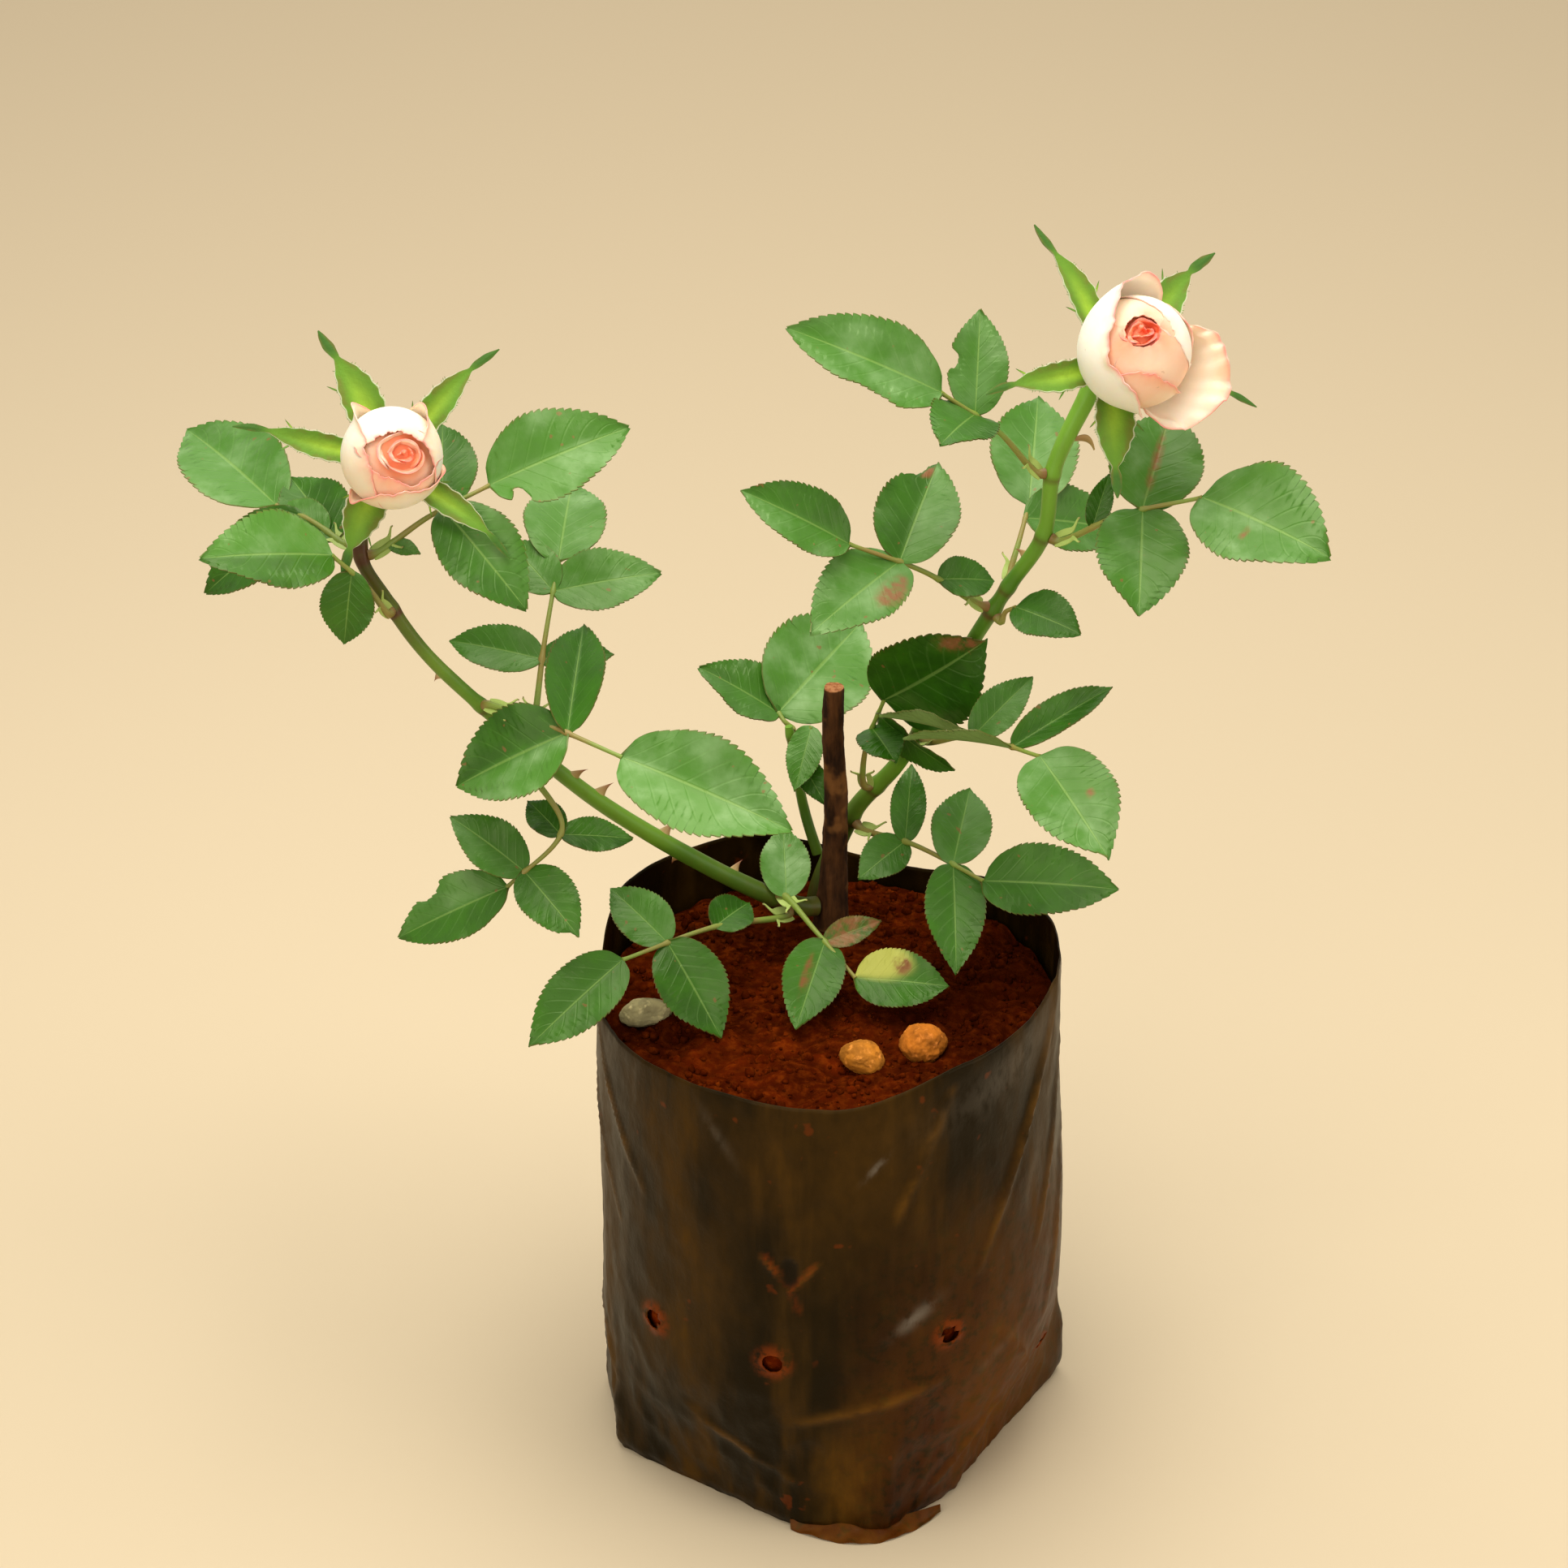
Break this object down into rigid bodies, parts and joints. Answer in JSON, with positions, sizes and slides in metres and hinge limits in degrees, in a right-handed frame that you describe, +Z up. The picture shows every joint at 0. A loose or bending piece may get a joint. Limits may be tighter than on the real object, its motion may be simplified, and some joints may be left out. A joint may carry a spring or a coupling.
{
  "type": "potted rose bush",
  "caption": "Young rose bush with two opening buds on arching thorny canes, a cut-back stub and pinnate leaves, in a round black nursery bag of red soil.",
  "frame": {"origin": "the middle of the bag's flat underside, on the ground it stands on", "axes": "+Z up; +X to the right and -Y towards the viewer in the picture"},
  "size_m": [0.3466, 0.1814, 0.4016],
  "materials": {
    "bag_film": "thin black polythene, dusty",
    "soil": "moist crumbly red earth",
    "pebble": "rough",
    "pale_pebble": "rough",
    "bark": "rough brown bark",
    "cane": "smooth green bark",
    "calyx": "downy green",
    "petal": "soft satin",
    "leaf": "semi-gloss green"
  },
  "bodies": {
    "root": {"nursery_bag": "bag_film", "soil": "soil", "stone_orange": "pebble", "stone_ochre": "pebble", "stone_pale": "pale_pebble", "rootstock_stub": "bark", "left_cane": "cane", "right_cane": "cane", "back_shoot": "cane", "left_calyx": "calyx", "left_petals": "petal", "right_calyx": "calyx", "right_petals": "petal", "left_leaf_1": "leaf", "left_leaf_2": "leaf", "left_leaf_3": "leaf", "left_leaf_4": "leaf", "left_leaf_5": "leaf", "left_leaf_6": "leaf", "left_leaf_7": "leaf", "crown_leaf": "leaf", "back_leaf_1": "leaf", "back_leaf_2": "leaf", "right_leaf_1": "leaf", "right_leaf_2": "leaf", "right_leaf_3": "leaf", "right_leaf_4": "leaf", "right_leaf_5": "leaf", "right_leaf_6": "leaf", "right_leaf_7": "leaf", "right_leaf_8": "leaf"}
  },
  "joints": []
}
